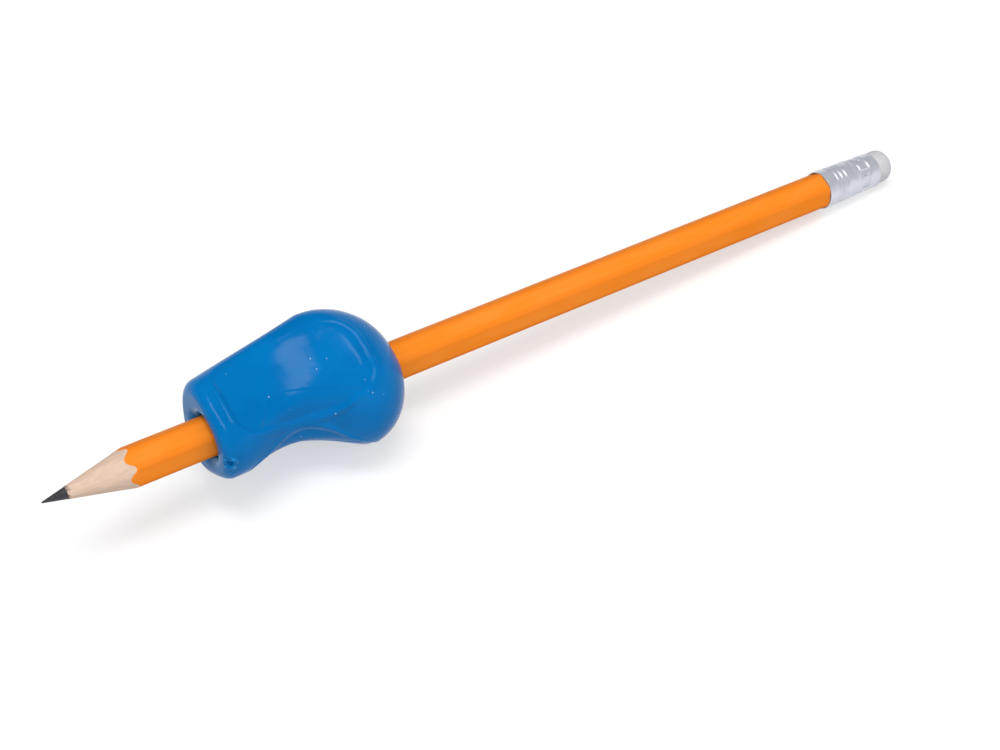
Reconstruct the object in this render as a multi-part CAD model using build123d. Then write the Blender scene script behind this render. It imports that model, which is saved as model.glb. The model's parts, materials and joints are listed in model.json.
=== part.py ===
from build123d import *
import math
import os

# A hexagonal wood pencil with a moulded rubber grip pushed onto it, lying on a table.
# It is built along +X with the point of the lead at zero, then laid down on Z = 0.
# Sizes are in millimetres and degrees. Places along the pencil count from the point of the lead.
# Angles round the pencil are read in the section, from straight up towards -Y.

# Pencil
ACROSS_FLATS = 7.0
EDGE_ROUND = 1.5
HEX_EDGE_ANGLE = 53.0
LACQUER = 0.1
LEAD_DIAMETER = 2.2
LEAD_TIP_DIAMETER = 0.3
CONE_HALF_ANGLE = 12.8
GLUE_GAP = 0.01

# Ferrule and eraser
FERRULE_START = 171.5
FERRULE_LENGTH = 14.5
FERRULE_FRONT_DIAMETER = 8.0
FERRULE_REAR_DIAMETER = 7.3
FERRULE_WALL = 0.3
FERRULE_FIT = 0.02
TENON_LENGTH = 8.0
CRIMP_COUNT = 3
CRIMP_PITCH = 1.25
CRIMP_RADIUS = 0.4
CRIMP_DEPTH = 0.14
FRONT_CRIMPS_FROM_FRONT = 3.9
REAR_CRIMPS_FROM_REAR = 4.1
ERASER_SEAT_GAP = 0.3
ERASER_SHOWING = 4.5
ERASER_BULGE = 0.1
ERASER_ROUND = 2.0

# Grip, and its roll on the barrel
GRIP_START = 29.3
GRIP_LENGTH = 36.5
GRIP_CLEARANCE = 0.08
REAR_MOUTH_ROUND = 0.6
FRONT_MOUTH_SHARE = 0.8
FRONT_ROUND = 1.75
RIDGE_ANGLE = 85.9
SCOOP_ANGLE = 63.4
SIDE_SHARPNESS = 9.0
SECTION_POINTS = 48
SECTIONS = 22
REST_FLAT = 0.35

# Places along the grip where its outline turns
COLLAR_FROM_FRONT = 2.0
NECK_FROM_FRONT = 12.2
SCOOP_RISE_FROM_FRONT = 12.6
SCOOP_BEND = 8.4
CROWN_BEND = 2.0
WAIST_FROM_FRONT = 15.1
BULB_FROM_REAR = 13.5
CROWN_FROM_REAR = 8.4

# How far the grip's corners, underside, ridge and scoops stand from its bore's axis at those places
MOUTH_LAND = 6.1
COLLAR_CORNER = 9.8
BULB_CORNER = 14.7
COLLAR_UNDERSIDE = 9.8
BULB_UNDERSIDE = 10.8
COLLAR_RIDGE = 9.0
WAIST_RIDGE = 6.3
CROWN_RIDGE = 12.6
COLLAR_SCOOP = 8.2
WAIST_SCOOP = 6.6
CROWN_SCOOP = 13.0


def section_point(x, radius, angle):
    """A point at a radius from the pencil's axis, at an angle from straight up towards -Y."""
    turn = math.radians(angle)
    return (x, -radius * math.sin(turn), radius * math.cos(turn))


def hexagon_bar(across_flats, edge_round, start, end):
    """A hexagonal bar along the pencil, with rounded edges."""
    section = Plane((start, 0, 0), x_dir=section_point(0, 1, HEX_EDGE_ANGLE), z_dir=(1, 0, 0))
    bar = extrude(section * RegularPolygon(across_flats / 2, 6, major_radius=False), end - start)
    return fillet(bar.edges().filter_by(Axis.X), edge_round)


def rod(radius, start, end):
    """A round rod along the pencil's axis."""
    return Pos((start + end) / 2, 0, 0) * (Rot(0, 90, 0) * Cylinder(radius, end - start))


def turned(*outline):
    """A solid of revolution about the pencil's axis from (place, radius) corners."""
    return revolve(Plane.XZ * make_face(Polyline(*outline, close=True)), Axis.X)


# Sizes that follow from the driving ones
pencil_end = FERRULE_START + TENON_LENGTH
ferrule_end = FERRULE_START + FERRULE_LENGTH
wood_across_flats = ACROSS_FLATS - 2 * LACQUER
wood_edge_round = EDGE_ROUND - LACQUER
edge_radius = (ACROSS_FLATS / 2 - EDGE_ROUND) / math.cos(math.pi / 6) + EDGE_ROUND
lead_radius = LEAD_DIAMETER / 2
bore_radius = edge_radius + GRIP_CLEARANCE
# The front mouth is rounded over most of the flat that is left round it
front_mouth_round = FRONT_MOUTH_SHARE * (COLLAR_SCOOP - FRONT_ROUND - bore_radius)


def ferrule_outside(place):
    """The ferrule's outside radius, which narrows evenly towards the eraser."""
    share = (place - FERRULE_START) / FERRULE_LENGTH
    return (FERRULE_FRONT_DIAMETER + (FERRULE_REAR_DIAMETER - FERRULE_FRONT_DIAMETER) * share) / 2


def ferrule_inside(place):
    """The ferrule's inside radius, one wall within its outside."""
    return ferrule_outside(place) - FERRULE_WALL


# The sharpener's cone: what lies inside it is left of the pencil
def cone_place(radius):
    """Where along the pencil the sharpener's cone reaches a radius."""
    return (radius - LEAD_TIP_DIAMETER / 2) / math.tan(math.radians(CONE_HALF_ANGLE))


outer_radius = ACROSS_FLATS
sharpened = turned(
    (0, 0),
    (0, LEAD_TIP_DIAMETER / 2),
    (cone_place(outer_radius), outer_radius),
    (pencil_end, outer_radius),
    (pencil_end, 0),
)

# Lead core: one graphite rod, glued in its groove and sharpened with the wood
lead_core = turned(
    (0, 0),
    (0, LEAD_TIP_DIAMETER / 2),
    (cone_place(lead_radius), lead_radius),
    (pencil_end, lead_radius),
    (pencil_end, 0),
)

# Wood: two grooved slats that meet on a plane through two edges of the hexagon
groove = rod(lead_radius + GLUE_GAP, 0, pencil_end)
tenon_limit = turned(
    (0, 0),
    (0, outer_radius),
    (FERRULE_START, outer_radius),
    (FERRULE_START, ferrule_inside(FERRULE_START) - FERRULE_FIT),
    (pencil_end, ferrule_inside(pencil_end) - FERRULE_FIT),
    (pencil_end, 0),
)
wood = (hexagon_bar(wood_across_flats, wood_edge_round, 0, pencil_end) & sharpened & tenon_limit) - groove
glue_plane = Plane((0, 0, 0), x_dir=(1, 0, 0), z_dir=section_point(0, 1, HEX_EDGE_ANGLE - 30))
upper_slat = split(wood, glue_plane, keep=Keep.TOP)
lower_slat = split(wood, glue_plane, keep=Keep.BOTTOM)

# Lacquer: a thin skin on the hexagon, cut back in scallops by the sharpener
wood_envelope = hexagon_bar(wood_across_flats + 2 * GLUE_GAP, wood_edge_round + GLUE_GAP, 0, FERRULE_START)
lacquer_coat = (hexagon_bar(ACROSS_FLATS, EDGE_ROUND, 0, FERRULE_START) & sharpened) - wood_envelope

# Ferrule: a tapered aluminium tube with two groups of crimped rings
ferrule = turned(
    (FERRULE_START, ferrule_inside(FERRULE_START)),
    (FERRULE_START, ferrule_outside(FERRULE_START)),
    (ferrule_end, ferrule_outside(ferrule_end)),
    (ferrule_end, ferrule_inside(ferrule_end)),
)
for group_middle in (FERRULE_START + FRONT_CRIMPS_FROM_FRONT, ferrule_end - REAR_CRIMPS_FROM_REAR):
    for index in range(CRIMP_COUNT):
        place = group_middle + (index - (CRIMP_COUNT - 1) / 2) * CRIMP_PITCH
        ring_radius = ferrule_outside(place) + CRIMP_RADIUS - CRIMP_DEPTH
        ferrule -= Pos(place, 0, 0) * (Rot(0, 90, 0) * Torus(ring_radius, CRIMP_RADIUS))

# Eraser: a plug behind the wood in the ferrule, which swells a little where it comes out
eraser_start = pencil_end + ERASER_SEAT_GAP
eraser_end = ferrule_end + ERASER_SHOWING
eraser_plug = turned(
    (eraser_start, 0),
    (eraser_start, ferrule_inside(eraser_start) - FERRULE_FIT),
    (ferrule_end, ferrule_inside(ferrule_end) - FERRULE_FIT),
    (ferrule_end, 0),
)
eraser_radius = ferrule_inside(ferrule_end) + ERASER_BULGE
eraser_head = rod(eraser_radius, ferrule_end, eraser_end)
eraser_head = fillet(eraser_head.edges().group_by(Axis.X)[-1], ERASER_ROUND)
eraser = eraser_plug + eraser_head

# Grip: a three-sided sleeve with a ball-shaped rear end, two finger scoops and a ridge between them.
# Places along it count from its front end.
bulb_place = GRIP_LENGTH - BULB_FROM_REAR
crown_place = GRIP_LENGTH - CROWN_FROM_REAR


def ease(x, start, end):
    """A smooth step from 0 at the start to 1 at the end."""
    t = min(max((x - start) / (end - start), 0), 1)
    return t * t * (3 - 2 * t)


def scoop_rise(x):
    """How much of its rise a scoop has made: it bends up, rises straight and bends flat at its crown."""
    length = crown_place - SCOOP_RISE_FROM_FRONT
    reach = min(max(x - SCOOP_RISE_FROM_FRONT, 0), length)
    bent = min(reach, SCOOP_BEND) ** 2 / (2 * SCOOP_BEND)
    straight = max(reach - SCOOP_BEND, 0)
    flattened = max(reach - length + CROWN_BEND, 0) ** 2 / (2 * CROWN_BEND)
    return (bent + straight - flattened) / (length - SCOOP_BEND / 2 - CROWN_BEND / 2)


def rear_fall(x, start, peak):
    """A quarter ellipse that takes a peak radius down to the land round the rear mouth."""
    reach = (GRIP_LENGTH - start) / math.sqrt(1 - (MOUTH_LAND / peak) ** 2)
    return math.sqrt(1 - (max(x - start, 0) / reach) ** 2)


def tapered(x, collar, bulb):
    """A straight taper from the collar to the bulb, then the round rear end."""
    return (collar + (bulb - collar) * min(x / bulb_place, 1)) * rear_fall(x, bulb_place, bulb)


def grip_radius(x, angle):
    """The grip's radius at a place along it, at an angle from its ridge."""
    corner = tapered(x, COLLAR_CORNER, BULB_CORNER)
    underside = tapered(x, COLLAR_UNDERSIDE, BULB_UNDERSIDE)
    ridge = COLLAR_RIDGE + (WAIST_RIDGE - COLLAR_RIDGE) * ease(x, COLLAR_FROM_FRONT, WAIST_FROM_FRONT)
    ridge += (CROWN_RIDGE - WAIST_RIDGE) * ease(x, WAIST_FROM_FRONT, crown_place)
    ridge *= rear_fall(x, crown_place, CROWN_RIDGE)
    scoop = COLLAR_SCOOP + (WAIST_SCOOP - COLLAR_SCOOP) * ease(x, COLLAR_FROM_FRONT, NECK_FROM_FRONT)
    scoop += (CROWN_SCOOP - WAIST_SCOOP) * scoop_rise(x)
    scoop *= rear_fall(x, crown_place, CROWN_SCOOP)
    turn = math.radians(angle)
    ball = corner + (ridge - corner) * ((1 + math.cos(turn)) / 2) ** 2
    total = ball ** -SIDE_SHARPNESS
    for side_angle, distance in ((SCOOP_ANGLE, scoop), (-SCOOP_ANGLE, scoop), (180, underside)):
        facing = max(math.cos(turn - math.radians(side_angle)), 0)
        total += (facing / distance) ** SIDE_SHARPNESS
    inset = max(FRONT_ROUND - x, 0)
    front_inset = FRONT_ROUND - math.sqrt(FRONT_ROUND**2 - inset**2)
    return total ** (-1 / SIDE_SHARPNESS) - front_inset


def grip_outline(x):
    """The points of the grip's outline in the section at a place along it."""
    steps = [360 * index / SECTION_POINTS for index in range(SECTION_POINTS)]
    return [section_point(GRIP_START + x, grip_radius(x, step), RIDGE_ANGLE + step) for step in steps]


def section_place(index):
    """Places of the sections, closer together at both ends where the grip rounds off."""
    return GRIP_LENGTH * (1 - math.cos(math.pi * index / (SECTIONS - 1))) / 2


def mouth_rounded(sleeve, end, radius):
    """The sleeve with the mouth of its bore at one end rounded over."""
    rims = sleeve.edges().filter_by(lambda edge: abs(edge.length - 2 * math.pi * bore_radius) < 0.01)
    return fillet(rims.filter_by(lambda edge: abs(edge.center().X - end) < 0.01), radius)


outlines = [grip_outline(section_place(index)) for index in range(SECTIONS)]
grip_body = Solid.make_loft([Wire(Spline(*outline, periodic=True)) for outline in outlines])
grip_sleeve = grip_body - rod(bore_radius, GRIP_START, GRIP_START + GRIP_LENGTH)
grip_sleeve = mouth_rounded(grip_sleeve, GRIP_START, front_mouth_round)
grip_sleeve = mouth_rounded(grip_sleeve, GRIP_START + GRIP_LENGTH, REAR_MOUTH_ROUND)

# At rest the pencil lies on the grip's bulb and on the ferrule or eraser, with its point raised.
# The bulb is flattened a little where it lies, as soft rubber is, and so doesn't roll away.
rear_points = [
    (FERRULE_START, -ferrule_outside(FERRULE_START)),
    (ferrule_end, -ferrule_outside(ferrule_end)),
    (eraser_end - ERASER_ROUND, -eraser_radius),
]
grip_points = [(x, z) for outline in outlines for (x, y, z) in outline]
slopes = [max((rear[1] - z - REST_FLAT) / (rear[0] - x) for (x, z) in grip_points) for rear in rear_points]
rest_tilt = math.degrees(math.atan(min(slopes)))
laid_down = Rot(0, rest_tilt, 0)
table_height = min((laid_down * piece).bounding_box().min.Z for piece in (ferrule, eraser))
table = Pos(GRIP_START, 0, table_height) * Box(
    3 * GRIP_LENGTH, 3 * GRIP_LENGTH, GRIP_LENGTH, align=(Align.CENTER, Align.CENTER, Align.MAX)
)
grip_sleeve -= laid_down.inverse() * table

pieces = {
    "lead_core": lead_core,
    "upper_slat": upper_slat,
    "lower_slat": lower_slat,
    "lacquer_coat": lacquer_coat,
    "ferrule": ferrule,
    "eraser": eraser,
    "grip_sleeve": grip_sleeve,
}
box = Compound([laid_down * piece for piece in pieces.values()]).bounding_box()
rest_place = Pos(-box.center().X, -box.center().Y, -table_height) * laid_down

os.makedirs("parts", exist_ok=True)
for name, piece in pieces.items():
    export_step(rest_place * piece, f"parts/{name}.step")

point = rest_place.position
eraser_middle = (rest_place * Pos(ferrule_end, 0, 0)).position
print("rest tilt", rest_tilt, "point", point, "eraser mouth", eraser_middle, "eraser radius", eraser_radius)
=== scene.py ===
import bmesh
import bpy
import json
import math
from mathutils import Matrix, Vector


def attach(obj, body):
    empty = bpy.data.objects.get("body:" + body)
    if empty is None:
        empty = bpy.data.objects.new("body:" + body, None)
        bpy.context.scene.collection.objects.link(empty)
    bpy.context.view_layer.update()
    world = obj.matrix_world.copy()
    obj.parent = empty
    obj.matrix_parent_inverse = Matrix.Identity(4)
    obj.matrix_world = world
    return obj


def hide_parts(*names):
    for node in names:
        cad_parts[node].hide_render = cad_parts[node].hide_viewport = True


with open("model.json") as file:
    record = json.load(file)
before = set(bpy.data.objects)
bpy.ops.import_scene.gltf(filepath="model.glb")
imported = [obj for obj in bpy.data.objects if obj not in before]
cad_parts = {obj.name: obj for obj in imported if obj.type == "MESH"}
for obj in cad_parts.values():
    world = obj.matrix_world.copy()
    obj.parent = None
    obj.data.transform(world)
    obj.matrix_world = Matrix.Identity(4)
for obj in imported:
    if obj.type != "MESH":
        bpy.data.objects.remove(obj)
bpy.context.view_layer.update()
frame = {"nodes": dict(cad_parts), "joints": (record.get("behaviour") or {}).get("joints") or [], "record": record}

# Lead core
# A baked rod of graphite and clay, glued into the groove between two slats of wood.
# Only its sharpened point shows: dull grey, finely ringed by the blade and worn round at the tip.
# The sizes of all pieces are in millimetres, and colours are red, green and blue as they look on screen.
MILLIMETRE = 0.001
MERGE_GAP = 0.0005
LEAD_RADIUS = 1.1
LEAD_TIP_RADIUS = 0.15
LEAD_TIP_ROWS = 8
LEAD_SIDES = 96
CONE_HALF_ANGLE = 12.8
CONE_SLOPE = math.tan(math.radians(CONE_HALF_ANGLE))
LEAD_GREY = (37, 36, 41)
# A lighter grey painted on the lead as sheen
LEAD_PAINTED_SHEEN = (85, 83, 91)
LEAD_RING_PITCH = 0.16
LEAD_RING_WANDER = 0.5
GLEAM_ALONG = 0.6
GLEAM_ACROSS = 2.2
GLEAM_SCALE = 1.6
LEAD_ROUGHNESS = 0.42
LEAD_METALLIC = 0.35
LEAD_BUMP = 0.03

# The pencil's own directions and place in the frame: x runs from the point of the lead to the eraser
mounts = {mount["name"]: mount for mount in frame["record"]["mounts"]}
along = Vector(frame["joints"][0]["axis"]).normalized()
sideways = Vector((0, 1, 0))
pencil_turn = Matrix((along, sideways, along.cross(sideways))).transposed().to_4x4()
point_of_lead = Vector(mounts["sharpened_point"]["pos_m"])
on_pencil = Matrix.Translation(point_of_lead) @ pencil_turn @ Matrix.Scale(MILLIMETRE, 4)


def reach_along(node):
    """Where a node of the frame starts and ends along the pencil, in millimetres from the lead's point."""
    to_pencil = on_pencil.inverted()
    places = [(to_pencil @ vertex.co).x for vertex in frame["nodes"][node].data.vertices]
    return min(places), max(places)


def turned(name, outline, sides):
    """A mesh turned about the pencil's axis from (place, radius) points in millimetres along the pencil."""
    points = []
    for place, radius in outline:
        for side in range(sides):
            angle = 2 * math.pi * side / sides
            points.append((place, radius * math.cos(angle), radius * math.sin(angle)))
    faces = []
    for row in range(len(outline) - 1):
        for side in range(sides):
            near = row * sides + side
            next_near = row * sides + (side + 1) % sides
            faces.append((near, next_near, next_near + sides, near + sides))
    mesh = bpy.data.meshes.new(name)
    mesh.from_pydata(points, [], faces)
    work = bmesh.new()
    work.from_mesh(mesh)
    bmesh.ops.remove_doubles(work, verts=work.verts, dist=MERGE_GAP)
    bmesh.ops.recalc_face_normals(work, faces=work.faces)
    work.to_mesh(mesh)
    work.free()
    return mesh


def as_piece(name, mesh):
    """An object for a mesh, smooth all over."""
    piece = bpy.data.objects.new(name, mesh)
    bpy.context.scene.collection.objects.link(piece)
    mesh.shade_smooth()
    return piece


def arc(centre, radius, start, end, rows):
    """Points of an arc in the (place, radius) plane. Angles are in degrees from the pencil's direction."""
    points = []
    for row in range(rows + 1):
        angle = math.radians(start + (end - start) * row / rows)
        points.append((centre[0] + radius * math.cos(angle), centre[1] + radius * math.sin(angle)))
    return points


def feed(entry, value):
    """Joins a node's input to a number or socket, or sets it to a plain value."""
    if isinstance(value, Number):
        entry.id_data.links.new(value.socket, entry)
    elif isinstance(value, bpy.types.NodeSocket):
        entry.id_data.links.new(value, entry)
    else:
        entry.default_value = value


class Number:
    """A number in a node tree. Arithmetic on it adds Math nodes to that tree."""

    def __init__(self, socket):
        self.socket = socket

    def math(self, operation, *others):
        node = self.socket.id_data.nodes.new("ShaderNodeMath")
        node.operation = operation
        for entry, value in zip(node.inputs, (self, *others)):
            feed(entry, value)
        return Number(node.outputs["Value"])

    def __add__(self, other):
        return self.math("ADD", other)

    def __sub__(self, other):
        return self.math("SUBTRACT", other)

    def __rsub__(self, other):
        return self * -1 + other

    def __mul__(self, other):
        return self.math("MULTIPLY", other)

    def __truediv__(self, other):
        return self.math("DIVIDE", other)

    def __pow__(self, other):
        return self.math("POWER", other)

    __radd__ = __add__
    __rmul__ = __mul__

    def at_least(self, other):
        return self.math("MAXIMUM", other)

    def at_most(self, other):
        return self.math("MINIMUM", other)

    def root(self):
        return self.math("SQRT")

    def size(self):
        return self.math("ABSOLUTE")

    def cosine(self):
        return self.math("COSINE")

    def sine(self):
        return self.math("SINE")


def ease(number, start, end):
    """A smooth step from 0 at the start to 1 at the end."""
    node = number.socket.id_data.nodes.new("ShaderNodeMapRange")
    node.interpolation_type = "SMOOTHSTEP"
    for name, value in (("Value", number), ("From Min", start), ("From Max", end)):
        feed(node.inputs[name], value)
    return Number(node.outputs["Result"])


def split(vector):
    """The three numbers of a vector in a node tree."""
    node = vector.id_data.nodes.new("ShaderNodeSeparateXYZ")
    feed(node.inputs["Vector"], vector)
    return [Number(output) for output in node.outputs]


def joined(x, y, z):
    """A vector of three numbers."""
    parts = (x, y, z)
    tree = next(part for part in parts if isinstance(part, Number)).socket.id_data
    node = tree.nodes.new("ShaderNodeCombineXYZ")
    for entry, value in zip(node.inputs, parts):
        feed(entry, value)
    return node.outputs["Vector"]


def stretched(place, along_scale, across_scale, shift=0.0):
    """A place scaled along and across the pencil, for a pattern that runs with the pencil or round it."""
    x, y, z = split(place)
    return joined(x * along_scale + shift, y * across_scale, z * across_scale)


def cloudy(vector, scale, detail=2.0):
    """Soft noise from 0 to 1, with a scale in patches per unit of the vector."""
    node = vector.id_data.nodes.new("ShaderNodeTexNoise")
    for name, value in (("Vector", vector), ("Scale", scale), ("Detail", detail)):
        feed(node.inputs[name], value)
    return Number(node.outputs["Fac"])


def screen(colour):
    """A shader colour from red, green and blue as they look on screen, from 0 to 255."""
    linear = []
    for part in colour:
        share = part / 255
        linear.append(share / 12.92 if share <= 0.04045 else ((share + 0.055) / 1.055) ** 2.4)
    return (*linear, 1.0)


def blended(mask, low, high):
    """A colour between two, by a mask. A colour is a socket or (red, green, blue) as on screen."""
    node = mask.socket.id_data.nodes.new("ShaderNodeMix")
    node.data_type = "RGBA"
    feed(node.inputs["Factor"], mask)
    by_identifier = {entry.identifier: entry for entry in node.inputs}
    for identifier, colour in (("A_Color", low), ("B_Color", high)):
        feed(by_identifier[identifier], screen(colour) if isinstance(colour, tuple) else colour)
    return next(output for output in node.outputs if output.identifier == "Result_Color")


def new_finish(name):
    """A node material, its shader, and the place on the pencil in millimetres as a vector."""
    material = bpy.data.materials.new(name)
    material.use_nodes = True
    nodes = material.node_tree.nodes
    to_pencil = on_pencil.inverted()
    mapping = nodes.new("ShaderNodeMapping")
    mapping.inputs["Location"].default_value = to_pencil.to_translation()
    mapping.inputs["Rotation"].default_value = to_pencil.to_euler()
    mapping.inputs["Scale"].default_value = to_pencil.to_scale()
    feed(mapping.inputs["Vector"], nodes.new("ShaderNodeTexCoord").outputs["Object"])
    return material, nodes["Principled BSDF"], mapping.outputs["Vector"]


def raise_bump(shader, height, depth):
    """Bumps a shader by a height from 0 to 1 that stands for a depth in millimetres."""
    node = shader.id_data.nodes.new("ShaderNodeBump")
    feed(node.inputs["Height"], height)
    node.inputs["Distance"].default_value = depth * MILLIMETRE
    feed(shader.inputs["Normal"], node.outputs["Normal"])


def new_group(name, inputs, output):
    """A shader node group with a vector, named number inputs with their usual values, and one output."""
    tree = bpy.data.node_groups.new(name, "ShaderNodeTree")
    tree.interface.new_socket("Place", in_out="INPUT", socket_type="NodeSocketVector")
    for input_name, usual in inputs.items():
        entry = tree.interface.new_socket(input_name, in_out="INPUT", socket_type="NodeSocketFloat")
        entry.default_value = usual
    tree.interface.new_socket(output, in_out="OUTPUT", socket_type="NodeSocketFloat")
    entries = tree.nodes.new("NodeGroupInput").outputs
    result = tree.nodes.new("NodeGroupOutput").inputs[output]
    return tree, entries, result


def placed_group(tree, place, **values):
    """A group put into a material, with its own values."""
    node = place.id_data.nodes.new("ShaderNodeGroup")
    node.node_tree = tree
    feed(node.inputs["Place"], place)
    for name, value in values.items():
        feed(node.inputs[name], value)
    return Number(node.outputs[0])


# Blade rings: the fine turned lines that a sharpener's blade leaves round lead and wood
blade_rings, entries, result = new_group("Blade rings", {"Pitch": 0.2, "Wander": 0.3}, "Height")
ring_place = split(entries["Place"])[0] + cloudy(entries["Place"], 0.9) * entries["Wander"]
ring_wave = (ring_place * (2 * math.pi) / Number(entries["Pitch"])).sine()
ring_break = cloudy(entries["Place"], 2.5)
feed(result, (ring_wave * 0.5 + 0.5) * ring_break)

graphite, shader, place = new_finish("Graphite")
rings = placed_group(blade_rings, place, Pitch=LEAD_RING_PITCH, Wander=LEAD_RING_WANDER)
gleam = cloudy(stretched(place, GLEAM_ALONG, GLEAM_ACROSS), GLEAM_SCALE, 4.0)
# Where the gleam noise is high the lead is painted lighter grey as sheen, and is also made more metallic and
# rougher
painted_sheen = ease(gleam * 0.75 + rings * 0.35, 0.3, 0.75)
feed(shader.inputs["Base Color"], blended(painted_sheen, LEAD_GREY, LEAD_PAINTED_SHEEN))
feed(shader.inputs["Roughness"], LEAD_ROUGHNESS + gleam * 0.25)
feed(shader.inputs["Metallic"], ease(gleam, 0.35, 0.7) * LEAD_METALLIC)
raise_bump(shader, rings * 0.6 + cloudy(place, 9.0) * 0.4, LEAD_BUMP)

lead_end = reach_along("lead_core")[1]
lead_outline = arc((LEAD_TIP_RADIUS, 0), LEAD_TIP_RADIUS, 180, 90 + CONE_HALF_ANGLE, LEAD_TIP_ROWS)
cone_end = lead_outline[-1][0] + (LEAD_RADIUS - lead_outline[-1][1]) / CONE_SLOPE
lead_outline += [(cone_end, LEAD_RADIUS), (lead_end, LEAD_RADIUS), (lead_end, 0)]
lead = as_piece("sharpened_lead", turned("sharpened_lead", lead_outline, LEAD_SIDES))
lead.data.transform(on_pencil)
lead.data.materials.append(graphite)
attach(lead, "pencil")
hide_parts("lead_core")

# Slats
# Two grooved slats of pale softwood, glued face to face round the lead and planed to a hexagon.
# The sharpener bares them in a cone, with long grain, fine blade rings and a graphite smudge by the lead.
WOOD_PALE = (228, 200, 178)
WOOD_PINK = (219, 189, 169)
WOOD_STREAK = (196, 160, 132)
SMUDGE_GREY = (84, 80, 82)
SMUDGE_START = 1.0
SMUDGE_END = 1.7
SMUDGE_RAGGED = 2.4
GRAIN_ALONG = 0.09
GRAIN_ACROSS = 1.5
GRAIN_SHIFTS = {"upper_slat": 0.0, "lower_slat": 3.7}
WOOD_RING_PITCH = 0.28
WOOD_RING_WANDER = 0.8
WOOD_ROUGHNESS = 0.62
WOOD_GLOSS = 0.3
WOOD_BUMP = 0.03


def cut_wood(name, shift):
    """Softwood cut by a sharpener, with its own run of grain."""
    material, shader, place = new_finish(name)
    grain_place = stretched(place, GRAIN_ALONG, GRAIN_ACROSS, shift)
    grain = cloudy(grain_place, 1.5, 5.0)
    streaks = ease(cloudy(grain_place, 3.4, 3.0), 0.56, 0.74)
    tone = blended(ease(grain, 0.32, 0.66), WOOD_PINK, WOOD_PALE)
    streaked = blended(streaks * 0.3, tone, WOOD_STREAK)
    ragged_place = split(place)[0] + cloudy(place, 1.4) * SMUDGE_RAGGED
    smudge = 1 - ease(ragged_place, cone_end + SMUDGE_START, cone_end + SMUDGE_END)
    feed(shader.inputs["Base Color"], blended(smudge * 0.85, streaked, SMUDGE_GREY))
    rings = placed_group(blade_rings, place, Pitch=WOOD_RING_PITCH, Wander=WOOD_RING_WANDER)
    feed(shader.inputs["Roughness"], WOOD_ROUGHNESS + grain * 0.2)
    raise_bump(shader, rings * 0.4 + cloudy(grain_place, 7.0, 3.0) * 0.6, WOOD_BUMP)
    shader.inputs["Specular IOR Level"].default_value = WOOD_GLOSS
    return material


def refinish(node, material):
    """Gives a node of the frame a material in place of its plain one."""
    materials = frame["nodes"][node].data.materials
    materials.clear()
    materials.append(material)


for slat, shift in GRAIN_SHIFTS.items():
    refinish(slat, cut_wood(f"Cut {slat.replace('_', ' ')}", shift))

# Lacquer
# Several dipped coats of orange lacquer on the hexagon, about a tenth of a millimetre thick.
# It shines softly, thins over the six edges, and ends in scallops where the sharpener cut through it.
LACQUER_ORANGE = (254, 146, 50)
LACQUER_DEEP = (252, 141, 38)
LACQUER_EDGE = (244, 130, 30)
LACQUER_SPECK = (255, 168, 74)
EDGE_START = 3.6
EDGE_FULL = 3.78
COAT_ALONG = 0.12
COAT_ACROSS = 0.6
COAT_SCALE = 0.8
SPECK_SPACING = 3.2
SPECK_GRAIN = 0.07
SPECK_SHARE = 0.22
LACQUER_PATCH = 6.0
LACQUER_ROUGHNESS = 0.48
LACQUER_GLOSS = 0.03
LACQUER_BUMP = 0.05

# Dust and glint specks: small pale specks on glossy pieces, which are grains of dust and on the grip also painted
# glints of light
dust_and_glint_specks, entries, result = new_group("Dust and glint specks", {"Spacing": 2.0, "Grain": 0.08, "Share": 0.2}, "Mask")
cells = dust_and_glint_specks.nodes.new("ShaderNodeTexVoronoi")
feed(cells.inputs["Vector"], entries["Place"])
feed(cells.inputs["Scale"], Number(entries["Spacing"]) ** -1)
grain_reach = Number(entries["Grain"]) / Number(entries["Spacing"])
near_grain = 1 - ease(Number(cells.outputs["Distance"]), grain_reach * 0.4, grain_reach)
chosen = split(cells.outputs["Color"])[0].math("LESS_THAN", entries["Share"])
feed(result, near_grain * chosen)

# Smudges: broad patches that handling leaves a little duller
smudges, entries, result = new_group("Smudges", {"Patch": 8.0}, "Amount")
broad = cloudy(entries["Place"], Number(entries["Patch"]) ** -1, 4.0)
feed(result, ease(broad, 0.35, 0.7))


def off_axis(y, z):
    """How far a place is from the pencil's axis."""
    return (y * y + z * z).root()


lacquer, shader, place = new_finish("Orange lacquer")
coat = cloudy(stretched(place, COAT_ALONG, COAT_ACROSS), COAT_SCALE, 3.0)
thin_edge = ease(off_axis(*split(place)[1:]), EDGE_START, EDGE_FULL)
tone = blended(ease(coat, 0.35, 0.65), LACQUER_DEEP, LACQUER_ORANGE)
edged = blended(thin_edge * 0.5, tone, LACQUER_EDGE)
specks = placed_group(dust_and_glint_specks, place, Spacing=SPECK_SPACING, Grain=SPECK_GRAIN, Share=SPECK_SHARE)
feed(shader.inputs["Base Color"], blended(specks * 0.5, edged, LACQUER_SPECK))
worn = placed_group(smudges, place, Patch=LACQUER_PATCH)
feed(shader.inputs["Roughness"], LACQUER_ROUGHNESS + worn * 0.1 + thin_edge * 0.05)
raise_bump(shader, coat * 0.7 + cloudy(place, 1.4) * 0.2 + specks * 0.1, LACQUER_BUMP)
shader.inputs["Specular IOR Level"].default_value = LACQUER_GLOSS
refinish("lacquer_coat", lacquer)

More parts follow.
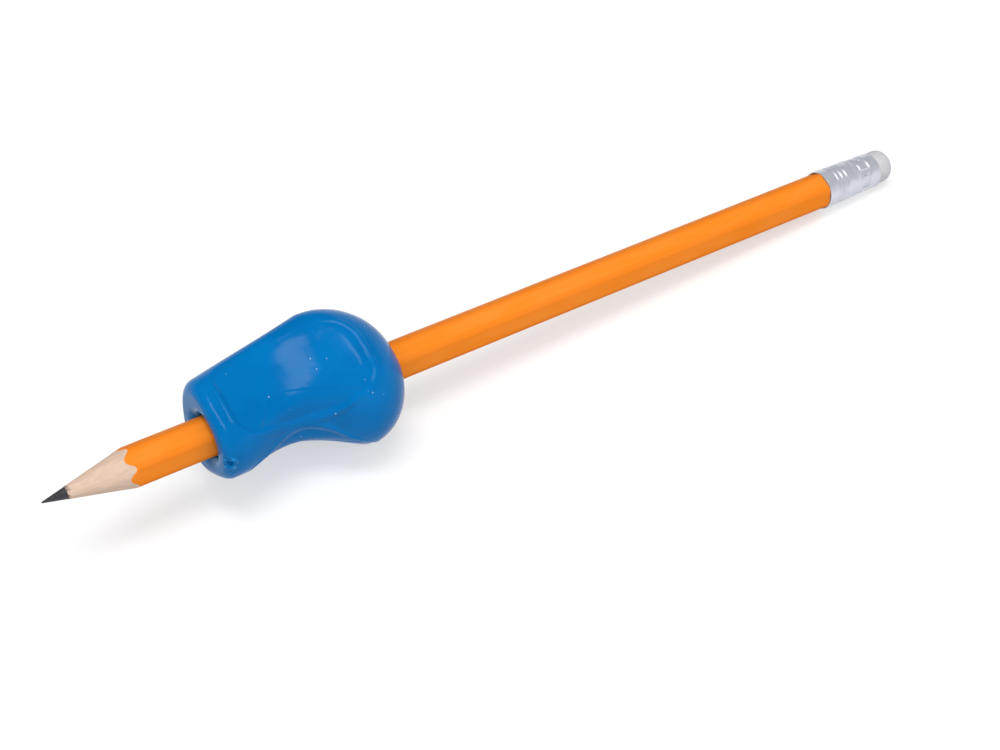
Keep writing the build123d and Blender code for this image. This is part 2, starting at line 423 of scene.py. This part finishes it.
# Ferrule
# A drawn aluminium tube pushed over the wood's tenon and the eraser's plug.
# Three rolled rings pinch it onto the wood.
# Behind them a bead, two more rings and a row of punched dimples between those hold the eraser.
FERRULE_FRONT_RADIUS = 4.0
FERRULE_REAR_RADIUS = 3.65
FERRULE_WALL = 0.3
FERRULE_LIP = 0.12
FERRULE_LIP_ROWS = 5
FERRULE_SIDES = 256
FERRULE_ROWS = 220
OUTSIDE_BAND = (0.1, 0.02)
DIMPLE_SIDES = (-0.1, 0.6)
DIMPLE_FLOOR = 0.45
BEAD_STEPS = 1.9
FERRULE_SILVER = (226, 229, 238)
FERRULE_GREY = (198, 202, 214)
DRAWN_ALONG = 6.0
DRAWN_ACROSS = 0.5
FERRULE_PATCH = 2.0
FERRULE_ROUGHNESS = 0.3
FERRULE_METALLIC = 0.42
FERRULE_BUMP = 0.006
FERRULE_CRIMPS = {
    "Ring pitch": 1.25,
    "Ring width": 0.45,
    "Ring depth": 0.2,
    "Front rings": 3.9,
    "Rear rings": 4.1,
    "Dimple count": 8.0,
    "Dimple length": 1.05,
    "Dimple depth": 0.34,
    "Bead": 0.08,
}


def new_shaping(name, sizes):
    """A geometry tree with a named input for each size.

    Gives the tree, its geometry socket, its sizes and the three numbers of its place.
    """
    tree = bpy.data.node_groups.new(name, "GeometryNodeTree")
    tree.interface.new_socket("Geometry", in_out="INPUT", socket_type="NodeSocketGeometry")
    tree.interface.new_socket("Geometry", in_out="OUTPUT", socket_type="NodeSocketGeometry")
    for size_name in sizes:
        tree.interface.new_socket(size_name, in_out="INPUT", socket_type="NodeSocketFloat")
    entries = tree.nodes.new("NodeGroupInput").outputs
    place = split(tree.nodes.new("GeometryNodeInputPosition").outputs["Position"])
    numbers = {size_name: Number(entries[size_name]) for size_name in sizes}
    return tree, entries["Geometry"], numbers, place


def moved(geometry, **inputs):
    """The geometry with its points moved to a Position or by an Offset."""
    node = geometry.id_data.nodes.new("GeometryNodeSetPosition")
    feed(node.inputs["Geometry"], geometry)
    for name, value in inputs.items():
        feed(node.inputs[name], value)
    return node.outputs["Geometry"]


def end_shaping(geometry, material):
    """Ends a geometry tree in plain geometry with a material."""
    nodes = geometry.id_data.nodes
    realised = nodes.new("GeometryNodeRealizeInstances")
    coloured = nodes.new("GeometryNodeSetMaterial")
    feed(realised.inputs["Geometry"], geometry)
    feed(coloured.inputs["Geometry"], realised.outputs["Geometry"])
    coloured.inputs["Material"].default_value = material
    feed(nodes.new("NodeGroupOutput").inputs["Geometry"], coloured.outputs["Geometry"])


def shape(piece, tree, sizes):
    """Runs a geometry tree on a piece, keeps the result as its plain mesh and lays that on the pencil."""
    modifier = piece.modifiers.new(tree.name, "NODES")
    modifier.node_group = tree
    for entry in tree.interface.items_tree:
        if entry.name in sizes:
            modifier[entry.identifier] = sizes[entry.name]
    seen = piece.evaluated_get(bpy.context.evaluated_depsgraph_get())
    piece.data = bpy.data.meshes.new_from_object(seen)
    piece.modifiers.remove(modifier)
    piece.data.transform(on_pencil)
    piece.data.shade_smooth()


aluminium, shader, place = new_finish("Crimped aluminium")
drawn = cloudy(stretched(place, DRAWN_ALONG, DRAWN_ACROSS), 1.0, 4.0)
patches = placed_group(smudges, place, Patch=FERRULE_PATCH)
feed(shader.inputs["Base Color"], blended(drawn * 0.6 + patches * 0.4, FERRULE_SILVER, FERRULE_GREY))
feed(shader.inputs["Roughness"], FERRULE_ROUGHNESS + patches * 0.1 + drawn * 0.04)
shader.inputs["Metallic"].default_value = FERRULE_METALLIC
raise_bump(shader, drawn * 0.7 + cloudy(place, 5.0) * 0.3, FERRULE_BUMP)

ferrule_start, ferrule_end = reach_along("ferrule")
ferrule_length = ferrule_end - ferrule_start
ferrule_taper = (FERRULE_FRONT_RADIUS - FERRULE_REAR_RADIUS) / ferrule_length


def tube_wall(share, inset):
    """A point of the ferrule's wall, at a share of its length and an inset from its outside."""
    reach = FERRULE_LIP + (ferrule_length - 2 * FERRULE_LIP) * share
    return ferrule_start + reach, FERRULE_FRONT_RADIUS - ferrule_taper * reach - inset


ferrule_outline = [tube_wall(row / FERRULE_ROWS, 0) for row in range(FERRULE_ROWS + 1)]
rear_lip = (ferrule_end - FERRULE_LIP, ferrule_outline[-1][1] - FERRULE_LIP)
front_lip = (ferrule_start + FERRULE_LIP, ferrule_outline[0][1] - FERRULE_LIP)
ferrule_outline += arc(rear_lip, FERRULE_LIP, 90, 0, FERRULE_LIP_ROWS)[1:]
ferrule_outline += [tube_wall(1, FERRULE_WALL), tube_wall(0, FERRULE_WALL)]
ferrule_outline += arc(front_lip, FERRULE_LIP, 180, 90, FERRULE_LIP_ROWS)

tree, tube, size, (x, y, z) = new_shaping("Crimped tube", FERRULE_CRIMPS)
from_axis = off_axis(y, z)
outside = FERRULE_FRONT_RADIUS - (x - ferrule_start) * ferrule_taper
on_outside = ease(from_axis, *[outside - band for band in OUTSIDE_BAND])
front_middle = size["Front rings"] + ferrule_start
rear_middle = ferrule_end - size["Rear rings"]
grooves = []
for middle, ring_steps in ((front_middle, (-1, 0, 1)), (rear_middle, (-1, 1))):
    for step in ring_steps:
        from_ring = (x - middle - size["Ring pitch"] * step).size()
        grooves.append(1 - ease(from_ring, 0.0, size["Ring width"]))
ringed = sum(grooves[1:], grooves[0]) * size["Ring depth"]
round_turn = z.math("ARCTAN2", y) * size["Dimple count"]
across_dimple = ease(round_turn.cosine(), *DIMPLE_SIDES)
along_dimple = 1 - ease((x - rear_middle).size(), size["Dimple length"] * DIMPLE_FLOOR, size["Dimple length"])
dimpled = across_dimple * along_dimple * size["Dimple depth"]
bead_place = rear_middle - size["Ring pitch"] * BEAD_STEPS
bead = 1 - ease((x - bead_place).size(), 0.0, size["Ring width"])
pinch = on_outside * (ringed + dimpled - bead * size["Bead"]) / from_axis * -1
end_shaping(moved(tube, Offset=joined(0.0, y * pinch, z * pinch)), aluminium)

ferrule = as_piece("crimped_ferrule", turned("crimped_ferrule", ferrule_outline, FERRULE_SIDES))
shape(ferrule, tree, FERRULE_CRIMPS)
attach(ferrule, "pencil")
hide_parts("ferrule")

# Eraser
# A plug of pale vinyl rubber pushed into the ferrule, which squeezes it out a little at the mouth.
# Its end is rounded, slightly crowned and chalky, with fine pores and a trace of rubbed graphite.
ERASER_MOUTH_RADIUS = 3.33
ERASER_BULGE_RADIUS = 3.45
ERASER_TUCK = 0.3
ERASER_ROUND = 2.0
ERASER_ROUND_END = 12
ERASER_CROWN = 0.25
BULGE_ROWS = 10
ERASER_ROUND_ROWS = 24
CROWN_ROWS = 12
ERASER_SIDES = 160
ERASER_WEAR = {"Waviness": 0.05, "Lean": 0.18}
WEAR_SCALE = 0.35
WEAR_LEVEL = 0.75
WEAR_START = 0.8
ERASER_WHITE = (214, 213, 218)
ERASER_SHADE = (205, 203, 208)
ERASER_RUBBED = (190, 188, 193)
RUBBED_START = 0.4
RUBBED_FULL = 2.0
RUBBED_RAGGED = 3.0
ERASER_ROUGHNESS = 0.7
ERASER_GLOSS = 0.25
ERASER_BUMP = 0.06

eraser_start, eraser_end = reach_along("eraser")
chalky, shader, place = new_finish("Chalky eraser rubber")
bloom = cloudy(place, 0.5, 4.0)
pores = ease(cloudy(place, 6.0, 3.0), 0.5, 0.75)
ragged_place = split(place)[0] + cloudy(place, 0.9, 3.0) * RUBBED_RAGGED
rubbed = ease(ragged_place, eraser_end + RUBBED_START, eraser_end + RUBBED_FULL)
tone = blended(ease(bloom, 0.3, 0.7), ERASER_SHADE, ERASER_WHITE)
feed(shader.inputs["Base Color"], blended(rubbed * 0.5, tone, ERASER_RUBBED))
feed(shader.inputs["Roughness"], ERASER_ROUGHNESS + pores * 0.15)
shader.inputs["Specular IOR Level"].default_value = ERASER_GLOSS
raise_bump(shader, bloom * 0.4 + (1 - pores) * 0.6, ERASER_BUMP)

bulge_start = ferrule_end - ERASER_TUCK
bulge_end = eraser_end - ERASER_CROWN - ERASER_ROUND
eraser_outline = [(eraser_start, 0)]
eraser_outline += [(eraser_start, ERASER_MOUTH_RADIUS), (bulge_start, ERASER_MOUTH_RADIUS)]
for row in range(1, BULGE_ROWS + 1):
    share = row / BULGE_ROWS
    swelling = (ERASER_BULGE_RADIUS - ERASER_MOUTH_RADIUS) * math.sin(share * math.pi / 2)
    eraser_outline.append((bulge_start + share * (bulge_end - bulge_start), ERASER_MOUTH_RADIUS + swelling))
round_middle = (bulge_end, ERASER_BULGE_RADIUS - ERASER_ROUND)
eraser_outline += arc(round_middle, ERASER_ROUND, 90, ERASER_ROUND_END, ERASER_ROUND_ROWS)[1:]
rim_place, rim_radius = eraser_outline[-1]
for row in range(1, CROWN_ROWS + 1):
    left = 1 - row / CROWN_ROWS
    eraser_outline.append((rim_place + (eraser_end - rim_place) * (1 - left ** 2), rim_radius * left))


def out_of_skin(tree, lift):
    """The three numbers of an offset by a lift along the skin's normal."""
    return [part * lift for part in split(tree.nodes.new("GeometryNodeInputNormal").outputs["Normal"])]


# The part outside the ferrule is worn a little uneven and leans up
tree, plug, size, (x, y, z) = new_shaping("Worn eraser", ERASER_WEAR)
out_of_ferrule = ease(x, ferrule_end, ferrule_end + WEAR_START)
wave = (cloudy(joined(x, y, z), WEAR_SCALE, 2.0) - WEAR_LEVEL) * size["Waviness"] * out_of_ferrule
offset_x, offset_y, offset_z = out_of_skin(tree, wave)
leaning = joined(offset_x, offset_y, offset_z + out_of_ferrule * size["Lean"])
end_shaping(moved(plug, Offset=leaning), chalky)
eraser = as_piece("worn_eraser", turned("worn_eraser", eraser_outline, ERASER_SIDES))
shape(eraser, tree, ERASER_WEAR)
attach(eraser, "pencil")
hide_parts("eraser")

# Grip
# A sleeve of soft glossy rubber moulded in one piece and stretched over the barrel, which it hugs.
# It has a collar at the front, two dished finger scoops with a ridge between them and a ball-shaped rear.
# The gate that the rubber was injected through leaves a torn pit on the collar's edge. Angles are in radians.
GRIP_FORM = {
    "Length": 36.5,
    "Front round": 1.75,
    "Ridge angle": math.radians(85.9),
    "Scoop angle": math.radians(63.4),
    "Side sharpness": 9.0,
    "Collar place": 2.0,
    "Neck place": 12.2,
    "Scoop rise place": 12.2,
    "Scoop bend": 14.5,
    "Crown bend": 1.3,
    "Waist place": 15.1,
    "Bulb place": 23.0,
    "Crown place": 28.1,
    "Mouth land": 6.1,
    "Collar corner": 9.8,
    "Bulb corner": 14.58,
    "Collar underside": 9.8,
    "Bulb underside": 10.8,
    "Collar ridge": 9.0,
    "Waist ridge": 6.3,
    "Crown ridge": 12.6,
    "Collar scoop": 8.2,
    "Waist scoop": 7.1,
    "Crown scoop": 13.25,
    "Dish front": 3.6,
    "Dish rear": 29.3,
    "Dish ridge side": -5.3,
    "Dish crown side": -7.0,
    "Dish far side": 9.2,
    "Dish corner": 3.8,
    "Dish crown corner": 7.5,
    "Dish depth": 0.27,
    "Dish edge": 0.55,
    "Dish lip": 0.1,
    "Ridge lip": 0.2,
    "Ridge lip reach": 3.0,
    "Ridge lip end": 22.5,
    "Ridge lip fade": 4.5,
    "Fold place": 12.8,
    "Fold top": 0.2,
    "Fold drop": 5.6,
    "Fold front": 5.4,
    "Fold rear": 11.8,
    "Fold depth": 0.1,
    "Fold edge": 0.35,
    "Gate place": 0.56,
    "Gate height": 8.5,
    "Gate pit": 0.55,
    "Gate ring": 1.15,
    "Gate depth": 0.6,
    "Waviness": 0.05,
    "Shrinkage": 0.07,
    "Bore flat": 3.55,
    "Bore edge": 3.86,
    "Hexagon angle": math.radians(53.0),
}
BLANK_BORE = 3.9
BLANK_SKIN = 15.0
FRONT_MOUTH_ROUND = 2.05
REAR_MOUTH_ROUND = 0.6
GRIP_SIDES = 352
MOUTH_ROWS = 12
FACE_ROWS = 8
ROUND_ROWS = 18
SKIN_STEP = 0.165
BARREL_FLATS = 6
MOUTH_CHANGE = (0.3, 0.7)
CROWN_BLEND = (-1.0, 3.0)
DISH_FADE = 0.8
DISH_FADE_START = 0.6
LIP_PLACE = 0.3
FOLD_CURVE = 1.5
WAVE_SCALE = 0.16
TEAR_SCALE = 1.3
TEAR_LEVEL = 0.45
TEAR_HEIGHT = 3
RELIEF_START = 1.2
RELIEF_FULL = 2.2
GRIP_BLUE = (2, 118, 190)
GRIP_DEEP = (1, 111, 181)
GRIP_DUST_AND_GLINT = (190, 214, 232)
GATE_TORN_HIGHLIGHT = (62, 150, 208)
GATE_PAINTED_SHADE = (2, 62, 118)
FLOW_SCALE = 0.12
GRIP_SPECK_SPACING = 2.6
GRIP_SPECK_GRAIN = 0.17
GRIP_SPECK_SHARE = 0.8
GRIP_PATCH = 7.0
GRIP_ROUGHNESS = 0.1
GRIP_GLOSS = 0.075
GRIP_BUMP = 0.05

rubber, shader, place = new_finish("Blue moulded rubber")
flow = cloudy(place, FLOW_SCALE, 3.0)
specks = placed_group(dust_and_glint_specks, place, Spacing=GRIP_SPECK_SPACING, Grain=GRIP_SPECK_GRAIN, Share=GRIP_SPECK_SHARE)
tone = blended(ease(flow, 0.3, 0.7), GRIP_DEEP, GRIP_BLUE)
# The pale specks on the rubber are partly dust and partly painted glints of light
dust_and_glints = blended(specks * 0.75, tone, GRIP_DUST_AND_GLINT)
grip_start = reach_along("grip_sleeve")[0]
ridge_angle = GRIP_FORM["Ridge angle"]
gate_middle = (
    grip_start + GRIP_FORM["Gate place"],
    -GRIP_FORM["Gate height"] * math.sin(ridge_angle),
    GRIP_FORM["Gate height"] * math.cos(ridge_angle),
)


def from_point(parts, middle):
    """How far a place is from a point."""
    gap_x, gap_y, gap_z = [part - value for part, value in zip(parts, middle)]
    return (gap_x * gap_x + gap_y * gap_y + gap_z * gap_z).root()


gate_gap = from_point(split(place), gate_middle)
# The torn ring round the gate is painted lighter blue as highlights on its ragged edges
torn = ease(cloudy(place, TEAR_SCALE, 3.0), TEAR_LEVEL, 0.62)
torn_ring_highlight = (1 - ease((gate_gap - GRIP_FORM["Gate ring"]).size(), 0.15, 0.45)) * torn
# The gate's pit is painted dark blue as shade in the hollow
pit_painted_shade = 1 - ease(gate_gap, GRIP_FORM["Gate pit"] * 0.6, GRIP_FORM["Gate pit"] * 1.4)
ring_highlighted = blended(torn_ring_highlight * 0.7, dust_and_glints, GATE_TORN_HIGHLIGHT)
feed(shader.inputs["Base Color"], blended(pit_painted_shade * 0.8, ring_highlighted, GATE_PAINTED_SHADE))
worn = placed_group(smudges, place, Patch=GRIP_PATCH)
feed(shader.inputs["Roughness"], GRIP_ROUGHNESS + worn * 0.07 + specks * 0.3)
shader.inputs["Specular IOR Level"].default_value = GRIP_GLOSS
raise_bump(shader, cloudy(place, 0.7, 2.0) * 0.7 + cloudy(place, 3.5, 2.0) * 0.2 + specks * 0.1, GRIP_BUMP)

grip_length = GRIP_FORM["Length"]
front_mouth_radius = BLANK_BORE + FRONT_MOUTH_ROUND
rear_mouth_radius = BLANK_BORE + REAR_MOUTH_ROUND
front_mouth = (grip_start + FRONT_MOUTH_ROUND, front_mouth_radius)
rear_mouth = (grip_start + grip_length - REAR_MOUTH_ROUND, rear_mouth_radius)
blank_outline = arc(rear_mouth, REAR_MOUTH_ROUND, 0, -90, MOUTH_ROWS)
blank_outline += arc(front_mouth, FRONT_MOUTH_ROUND, 270, 180, MOUTH_ROWS)
front_wall = (BLANK_SKIN - front_mouth_radius) / FACE_ROWS
for row in range(1, FACE_ROWS + 1):
    blank_outline.append((grip_start, front_mouth_radius + front_wall * row))
front_round = GRIP_FORM["Front round"]
for row in range(1, ROUND_ROWS + 1):
    rounded = front_round * (1 - math.cos(row / ROUND_ROWS * math.pi / 2))
    blank_outline.append((grip_start + rounded, BLANK_SKIN))
skin_length = grip_length - front_round
skin_rows = round(skin_length / SKIN_STEP)
for row in range(1, skin_rows + 1):
    blank_outline.append((grip_start + front_round + skin_length * row / skin_rows, BLANK_SKIN))
rear_wall = (BLANK_SKIN - rear_mouth_radius) / FACE_ROWS
for row in range(FACE_ROWS - 1, -1, -1):
    blank_outline.append((grip_start + grip_length, rear_mouth_radius + rear_wall * row))

tree, blank, size, (x, y, z) = new_shaping("Moulded grip", GRIP_FORM)
length = size["Length"]
sharp = size["Side sharpness"]
from_front = x - grip_start
from_axis = off_axis(y, z)
round_angle = (y * -1).math("ARCTAN2", z)
turn = round_angle - size["Ridge angle"]


def rear_fall(start, peak):
    """A quarter ellipse that takes a peak down to the land round the rear mouth."""
    reach = (length - start) / (1 - (size["Mouth land"] / peak) ** 2.0).root()
    return (1 - ((from_front - start).at_least(0.0) / reach) ** 2.0).at_least(0.0).root()


def tapered(collar, bulb):
    """A straight taper from the collar to the bulb, then the round rear end."""
    taper = collar + (bulb - collar) * (from_front / size["Bulb place"]).at_most(1.0)
    return taper * rear_fall(size["Bulb place"], bulb)


corner = tapered(size["Collar corner"], size["Bulb corner"])
underside = tapered(size["Collar underside"], size["Bulb underside"])
waisting = ease(from_front, size["Collar place"], size["Waist place"])
crowning = ease(from_front, size["Waist place"], size["Crown place"])
ridge = size["Collar ridge"] + (size["Waist ridge"] - size["Collar ridge"]) * waisting
ridge = ridge + (size["Crown ridge"] - size["Waist ridge"]) * crowning
ridge = ridge * rear_fall(size["Crown place"], size["Crown ridge"])
necking = ease(from_front, size["Collar place"], size["Neck place"])

# Behind the neck the scoop bends up nearly all the way to its crown, and bends flat just before it
rise_length = size["Crown place"] - size["Scoop rise place"]
along_rise = (from_front.at_most(size["Crown place"]) - size["Scoop rise place"]).at_least(0.0)
bent = along_rise.at_most(size["Scoop bend"]) ** 2.0 / (size["Scoop bend"] * 2)
straight = (along_rise - size["Scoop bend"]).at_least(0.0)
flattened = (along_rise - rise_length + size["Crown bend"]).at_least(0.0) ** 2.0 / (size["Crown bend"] * 2)
rising = (bent + straight - flattened) / (rise_length - size["Scoop bend"] / 2 - size["Crown bend"] / 2)
scoop = size["Collar scoop"] + (size["Waist scoop"] - size["Collar scoop"]) * necking
scoop = scoop + (size["Crown scoop"] - size["Waist scoop"]) * rising
scoop = scoop * rear_fall(size["Crown place"], size["Crown scoop"])
ball = corner + (ridge - corner) * ((turn.cosine() + 1) / 2) ** 2.0
total = ball ** (sharp * -1)
for facing, distance in (
    ((turn - size["Scoop angle"]).cosine(), scoop),
    ((turn + size["Scoop angle"]).cosine(), scoop),
    (turn.cosine() * -1, underside),
):
    total = total + (facing.at_least(0.0) / distance) ** sharp
inset = (size["Front round"] - from_front).at_least(0.0)
front_inset = size["Front round"] - (size["Front round"] ** 2.0 - inset ** 2.0).at_least(0.0).root()
skin_radius = total ** (sharp ** -1.0 * -1) - front_inset - size["Shrinkage"]

# The bore is pulled in to the barrel's six flats, and the rest of the wall is spread out to the skin
on_edges = ((round_angle - size["Hexagon angle"]) * BARREL_FLATS).cosine() * 0.5 + 0.5
bore_radius = size["Bore flat"] + (size["Bore edge"] - size["Bore flat"]) * on_edges
rearness = ease(from_front, *[length * share for share in MOUTH_CHANGE])
mouth = front_mouth_radius + (rear_mouth_radius - front_mouth_radius) * rearness
pulled_in = (BLANK_BORE - bore_radius) * (1 - ease(from_axis, BLANK_BORE, mouth))
wall_share = (from_axis - mouth).at_least(0.0) / (BLANK_SKIN - mouth)
grip_radius = from_axis.at_most(mouth) - pulled_in + wall_share * (skin_radius - mouth)
swell = grip_radius / from_axis
formed = moved(blank, Position=joined(x, y * swell, z * swell))

# The dishes, the gate mark and a slight unevenness stand on the formed skin, along its normal
from_ridge = turn.cosine().math("ARCCOSINE")
across = from_axis * (from_ridge - size["Scoop angle"]).sine()
widening = ease(from_front, size["Waist place"], size["Bulb place"])
near_side = size["Dish ridge side"] + (size["Dish crown side"] - size["Dish ridge side"]) * widening
half_width = (size["Dish far side"] - near_side) / 2
half_length = (size["Dish rear"] - size["Dish front"]) / 2
from_middle = from_front - (size["Dish rear"] + size["Dish front"]) / 2
at_crown = ease(from_middle, *CROWN_BLEND) * ease(across, *CROWN_BLEND)
rim_corner = size["Dish corner"] + (size["Dish crown corner"] - size["Dish corner"]) * at_crown
past_sides = (across - (size["Dish far side"] + near_side) / 2).size() - half_width + rim_corner
past_ends = from_middle.size() - half_length + rim_corner
outside_corner = (past_sides.at_least(0.0) ** 2.0 + past_ends.at_least(0.0) ** 2.0).root()
from_rim = outside_corner + past_sides.at_least(past_ends).at_most(0.0) - rim_corner
fading = 1 - ease(across, half_width * DISH_FADE_START, size["Dish far side"]) * DISH_FADE
dish = ease(from_rim * -1, 0.0, size["Dish edge"]) * size["Dish depth"] * fading

# The lip round the dish is higher along the ridge and dies away before the rear corner there
at_ridge = (1 - ease(across, near_side, near_side + size["Ridge lip reach"])) * widening
past_lip = ease(from_front, size["Ridge lip end"], size["Ridge lip end"] + size["Ridge lip fade"])
plain_lip = size["Dish lip"] * fading * (1 - at_ridge * past_lip)
lip_height = plain_lip + size["Ridge lip"] * at_ridge * (1 - past_lip)
lip = (1 - ease((from_rim - LIP_PLACE).size(), 0.0, size["Dish edge"])) * lip_height

# A faint fold runs across the dish floor: it climbs from the collar and falls away along the ridge
past_fold = from_front - size["Fold place"]
behind_fold = past_fold.at_least(0.0) / size["Fold rear"]
before_fold = (past_fold * -1).at_least(0.0) / size["Fold front"]
fold_line = size["Fold top"] - size["Fold drop"] * (behind_fold + before_fold) ** FOLD_CURVE
below_fold = ease(fold_line - across, 0.0, size["Fold edge"]) * ease(from_rim * -1, 0.0, size["Dish edge"])
dish = dish + below_fold * size["Fold depth"]

# Moulded rubber is never quite even, and the gate left a pit in a torn ring
wave = (cloudy(joined(x, y, z), WAVE_SCALE, 2.0) - 0.5) * size["Waviness"]
gate_y = size["Gate height"] * size["Ridge angle"].sine() * -1
gate_z = size["Gate height"] * size["Ridge angle"].cosine()
from_gate = from_point((from_front, y, z), (size["Gate place"], gate_y, gate_z))
pit = 1 - ease(from_gate, size["Gate pit"] * 0.5, size["Gate pit"] * 1.3)
ring = 1 - ease((from_gate - size["Gate ring"]).size(), 0.1, 0.5)
tear = ring * (cloudy(joined(x, y, z), TEAR_SCALE, 3.0) - TEAR_LEVEL) * size["Gate depth"] * TEAR_HEIGHT
relief = wave - dish + lip - pit * size["Gate depth"] + tear
on_skin = ease(from_axis, BLANK_BORE + RELIEF_START, BLANK_BORE + RELIEF_FULL)
end_shaping(moved(formed, Offset=joined(*out_of_skin(tree, relief * on_skin))), rubber)

grip = as_piece("moulded_grip", turned("moulded_grip", blank_outline, GRIP_SIDES))
shape(grip, tree, GRIP_FORM)

# Soft rubber lies flat where it meets the floor
for vertex in grip.data.vertices:
    vertex.co.z = max(vertex.co.z, 0.0)
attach(grip, "grip")
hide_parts("grip_sleeve")

# Floor
# A plain pale floor that keeps the soft shadow. Seen directly or in a gloss it is white.
# The sizes of the floor, the light and the camera are in metres.
FLOOR_HALF = 3.0
FLOOR_PALE = (196, 196, 196)
FLOOR_GLOW = 0.52
FLOOR_ROUGHNESS = 0.9
WHITE = (1, 1, 1, 1)


def seen_rays(tree):
    """1 for rays that show the room itself: to the camera, in a gloss or through glass."""
    ray = tree.nodes.new("ShaderNodeLightPath").outputs
    shown = Number(ray["Is Camera Ray"]).at_least(ray["Is Glossy Ray"])
    return shown.at_least(ray["Is Transmission Ray"])


floor_mesh = bpy.data.meshes.new("floor")
floor_signs = ((-1, -1), (1, -1), (1, 1), (-1, 1))
floor_mesh.from_pydata([(a * FLOOR_HALF, b * FLOOR_HALF, 0) for a, b in floor_signs], [], [(0, 1, 2, 3)])
floor = as_piece("floor", floor_mesh)
pale = bpy.data.materials.new("Pale floor")
pale.use_nodes = True
shader = pale.node_tree.nodes["Principled BSDF"]
shader.inputs["Base Color"].default_value = screen(FLOOR_PALE)
shader.inputs["Roughness"].default_value = FLOOR_ROUGHNESS
shader.inputs["Specular IOR Level"].default_value = 0.0
shader.inputs["Emission Color"].default_value = WHITE
feed(shader.inputs["Emission Strength"], seen_rays(pale.node_tree) * FLOOR_GLOW)
floor.data.materials.append(pale)

# Light
# A soft box hangs above the pencil, a little to its left, in a room that is brighter towards the camera.
# Seen directly or in a gloss the ceiling is dim, so that only the box shows in the rubber and the metal.
BOX_DIRECTION = Vector((-0.12, -0.095, 0.95))
BOX_DISTANCE = 0.9
BOX_LENGTH = 0.48
BOX_WIDTH = 0.26
BOX_POWER = 3.2
ROOM_LIGHT = 0.64
FRONT_LIGHT = 0.5
FRONT_DIRECTION = Vector((-0.4, -0.92, 0))
CEILING_SHARE = 0.08
CEILING_START = 0.1
CEILING_FULL = 0.45

soft_box = bpy.data.objects.new("soft_box", bpy.data.lights.new("soft_box", "AREA"))
soft_box.data.shape = "RECTANGLE"
soft_box.data.size = BOX_LENGTH
soft_box.data.size_y = BOX_WIDTH
soft_box.data.energy = BOX_POWER
soft_box.location = BOX_DIRECTION.normalized() * BOX_DISTANCE
soft_box.rotation_euler = BOX_DIRECTION.to_track_quat("Z", "Y").to_euler()
bpy.context.scene.collection.objects.link(soft_box)

room = bpy.data.worlds.new("white_room")
room.use_nodes = True
background = room.node_tree.nodes["Background"]
toward_x, toward_y, height = split(room.node_tree.nodes.new("ShaderNodeTexCoord").outputs["Generated"])
shown = seen_rays(room.node_tree)
dim_ceiling = 1 - ease(height, CEILING_START, CEILING_FULL) * (1 - CEILING_SHARE)
frontness = toward_x * FRONT_DIRECTION.x + toward_y * FRONT_DIRECTION.y
room_glow = (frontness * FRONT_LIGHT + ROOM_LIGHT).at_least(0.0)
background.inputs["Color"].default_value = WHITE
feed(background.inputs["Strength"], shown * dim_ceiling + (1 - shown) * room_glow)
bpy.context.scene.world = room

# Camera
# It looks down on the pencil at the photograph's angle, placed by where the point of the lead is in its view.
CAMERA_AZIMUTH = math.radians(-34.46)
CAMERA_ELEVATION = math.radians(44.72)
CAMERA_LENS = 61.2
CAMERA_SENSOR = 36.0
CAMERA_NEAR = 0.01
POINT_RIGHT = -0.0747
POINT_UP = -0.02082
POINT_AHEAD = 0.27694

flat = math.cos(CAMERA_ELEVATION)
rightward = Vector((math.cos(CAMERA_AZIMUTH), math.sin(CAMERA_AZIMUTH), 0))
backward = Vector((rightward.y * flat, -rightward.x * flat, math.sin(CAMERA_ELEVATION)))
upward = backward.cross(rightward)
camera = bpy.data.objects.new("camera", bpy.data.cameras.new("camera"))
camera.data.lens = CAMERA_LENS
camera.data.sensor_width = CAMERA_SENSOR
camera.data.clip_start = CAMERA_NEAR
stand = point_of_lead - rightward * POINT_RIGHT - upward * POINT_UP + backward * POINT_AHEAD
camera.matrix_world = Matrix.Translation(stand) @ Matrix((rightward, upward, backward)).transposed().to_4x4()
bpy.context.scene.collection.objects.link(camera)
bpy.context.scene.camera = camera
bpy.context.scene.view_settings.view_transform = "Standard"
